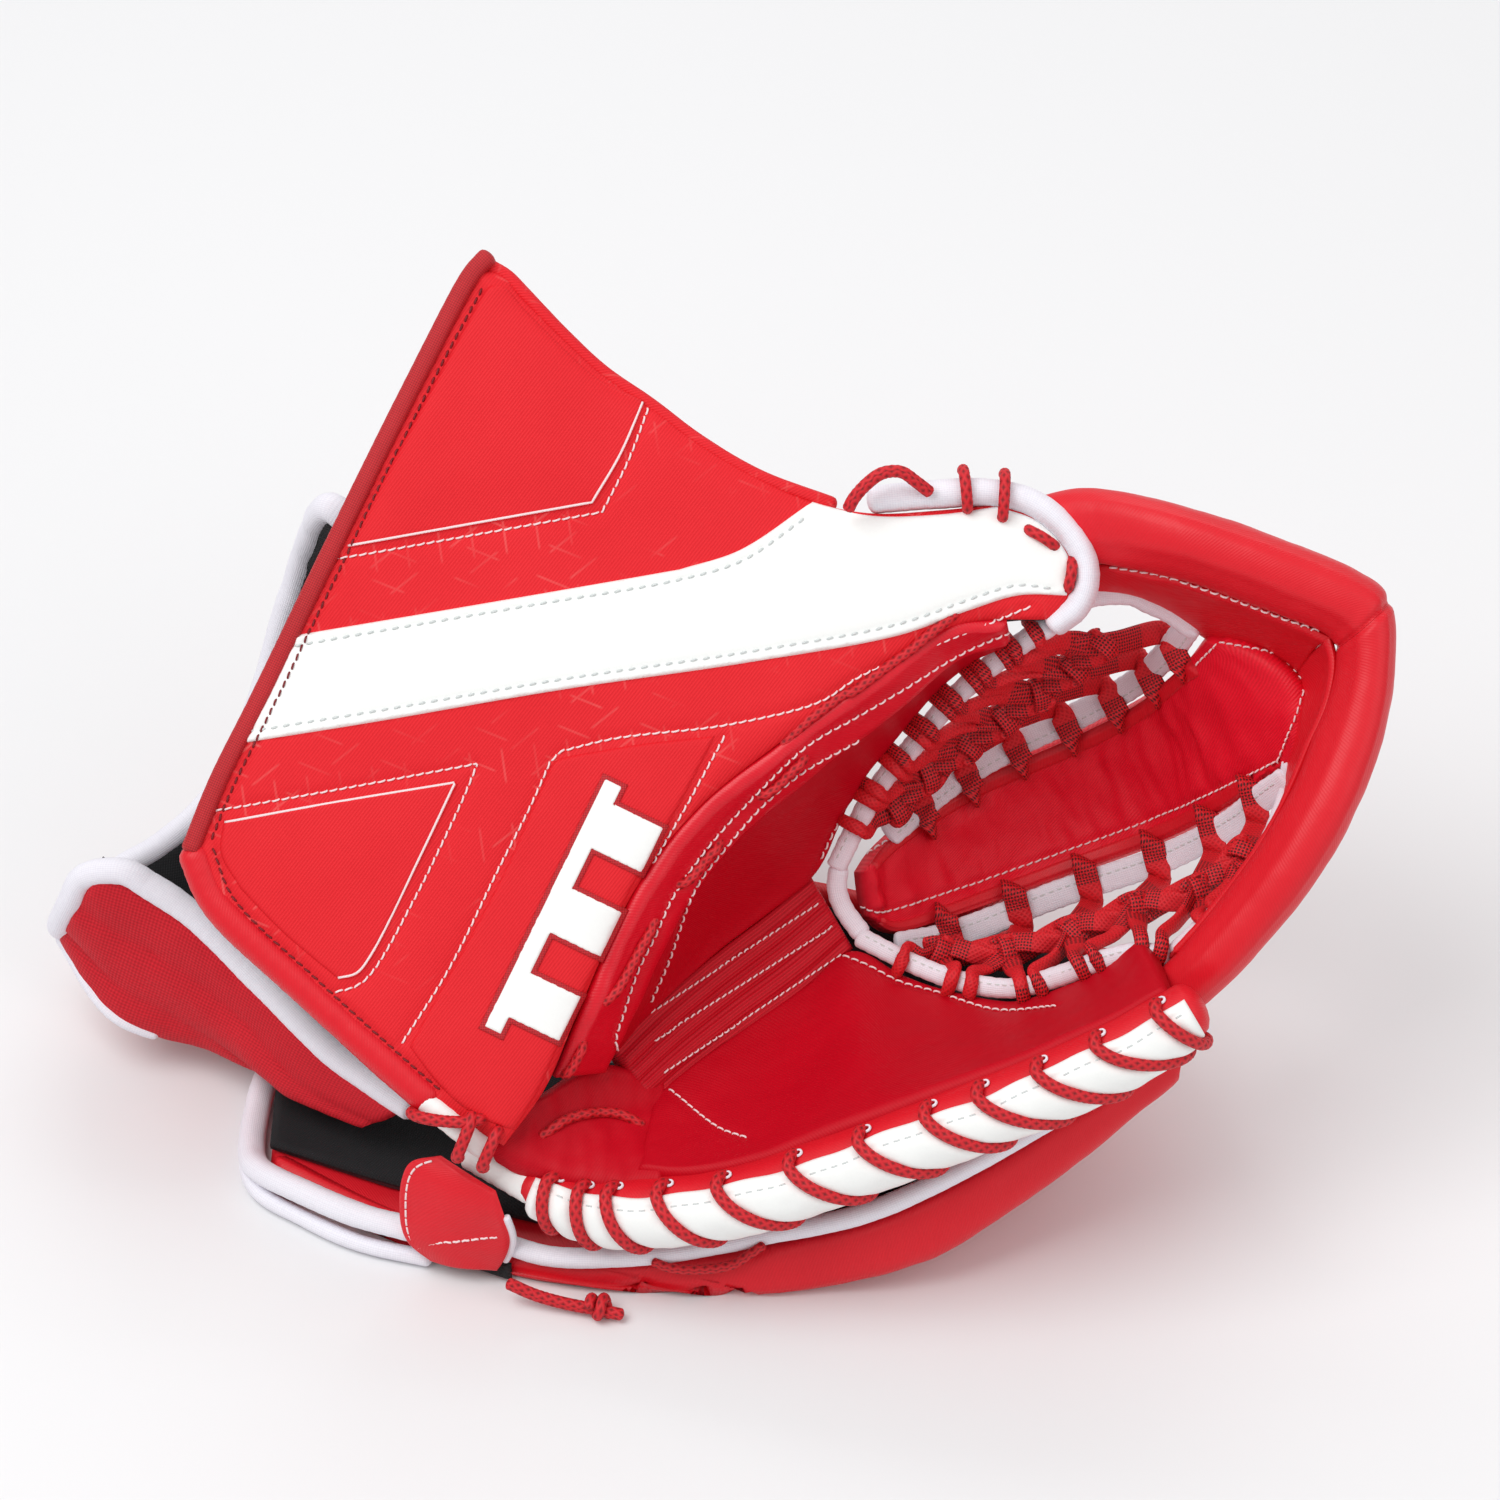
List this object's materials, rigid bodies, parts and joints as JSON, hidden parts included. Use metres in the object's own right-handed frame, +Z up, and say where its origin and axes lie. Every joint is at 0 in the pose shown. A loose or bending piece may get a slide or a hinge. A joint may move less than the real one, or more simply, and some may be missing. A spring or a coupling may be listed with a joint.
{
  "type": "goalie catch glove",
  "caption": "Left-hand ice hockey goalkeeper's catch glove, open on its backhand, with a laced pocket, cuff board, finger roll and wrist guard.",
  "frame": {"origin": "centre of the glove's plan box, on the ground the backhand rests on", "axes": "+X along the glove from the wrist to the pocket's outer roll, +Y away from the finger roll towards the cuff's top, +Z up"},
  "size_m": [0.4472, 0.2328, 0.273],
  "materials": {
    "red_woven": "twill-weave synthetic leather, bright red, matte",
    "red_smooth": "smooth synthetic leather, red, low sheen",
    "red_deep": "palm leather, deep red, fine grain",
    "red_nylon": "plain-weave nylon, dark red, matte",
    "red_lace": "braided lace, dark red",
    "white_skin": "smooth synthetic leather, white",
    "white_tape": "woven binding tape, white",
    "black_lining": "brushed knit lining, black",
    "foam": "closed-cell foam backing, dark grey",
    "plastic": "stiff sheet, black"
  },
  "bodies": {
    "hand": {"tbar_finger": "red_smooth", "wall_finger": "red_smooth", "finger_roll": "red_smooth", "backhand_pad": "red_smooth", "palm_finger_skin": "red_deep", "pocket_lacing_finger": "red_lace", "whip_lace": "red_lace", "lace_tail_heel": "red_lace", "finger_band": "white_skin", "pocket_binding_finger": "white_tape", "backhand_piping": "white_tape", "backhand_binding": "white_tape", "backhand_lining": "black_lining", "loop_patch": "black_lining", "finger_divider_1": "black_lining", "finger_divider_2": "black_lining", "finger_divider_3": "black_lining", "palm_finger_foam": "foam", "backhand_core": "plastic"},
    "web": {"palm_strip": "red_nylon", "palm_strip_foam": "foam", "pocket_binding_fold": "white_tape", "t_panel": "red_nylon", "t_panel_core": "foam", "t_binding_thumb": "white_tape", "t_binding_finger": "white_tape", "tbar_corner": "red_smooth", "wall_corner": "red_smooth"},
    "thumb_wing": {"cuff_board": "red_woven", "cuff_core": "plastic", "cuff_lining": "black_lining", "upper_triangle": "red_woven", "lower_triangle": "red_woven", "white_stripe": "white_skin", "emblem_panel": "red_woven", "emblem": "white_skin", "cuff_binding": "red_nylon", "top_binding": "red_woven", "heel_edge_roll": "red_smooth", "thumb_binding": "white_tape", "gore": "red_smooth", "palm_thumb_skin": "red_deep", "palm_thumb_foam": "foam", "seam_lace": "red_lace", "pocket_binding_thumb": "white_tape", "pocket_lacing_thumb": "red_lace", "tbar_thumb": "red_smooth", "wall_thumb": "red_smooth", "thumb_stall": "black_lining", "thumb_lace": "red_lace", "lace_tail_thumb": "red_lace", "heel_binding": "white_tape"},
    "wrist_guard": {"guard_shell": "red_nylon", "guard_lining": "black_lining", "guard_binding": "white_tape", "wrist_strap": "black_lining"},
    "heel_strap": {"heel_tab": "red_smooth", "tab_hook_patch": "black_lining"}
  },
  "joints": [
    {"name": "web_fold", "type": "hinge", "parent": "hand", "child": "web", "pos_m": [0.08132, -0.03598, 0.10462], "axis": [0.872, 0.2074, 0.4433], "range_deg": [0, 14]},
    {"name": "thumb_close", "type": "hinge", "parent": "web", "child": "thumb_wing", "pos_m": [0.07182, -0.01992, 0.12245], "axis": [0.8147, 0.2733, 0.5115], "range_deg": [0, 14]},
    {"name": "guard_flex", "type": "hinge", "parent": "hand", "child": "wrist_guard", "pos_m": [-0.07732, 0.02023, 0.0191], "axis": [0.5708, 0.5494, 0.6102], "range_deg": [0, 6]},
    {"name": "heel_strap_open", "type": "hinge", "parent": "hand", "child": "heel_strap", "pos_m": [-0.07418, -0.08554, 0.04361], "axis": [-0.8383, 0.4813, 0.2561], "range_deg": [0, 60]}
  ],
  "couplings": [
    {"joint": "thumb_close", "follows": "web_fold", "ratio": 1}
  ]
}
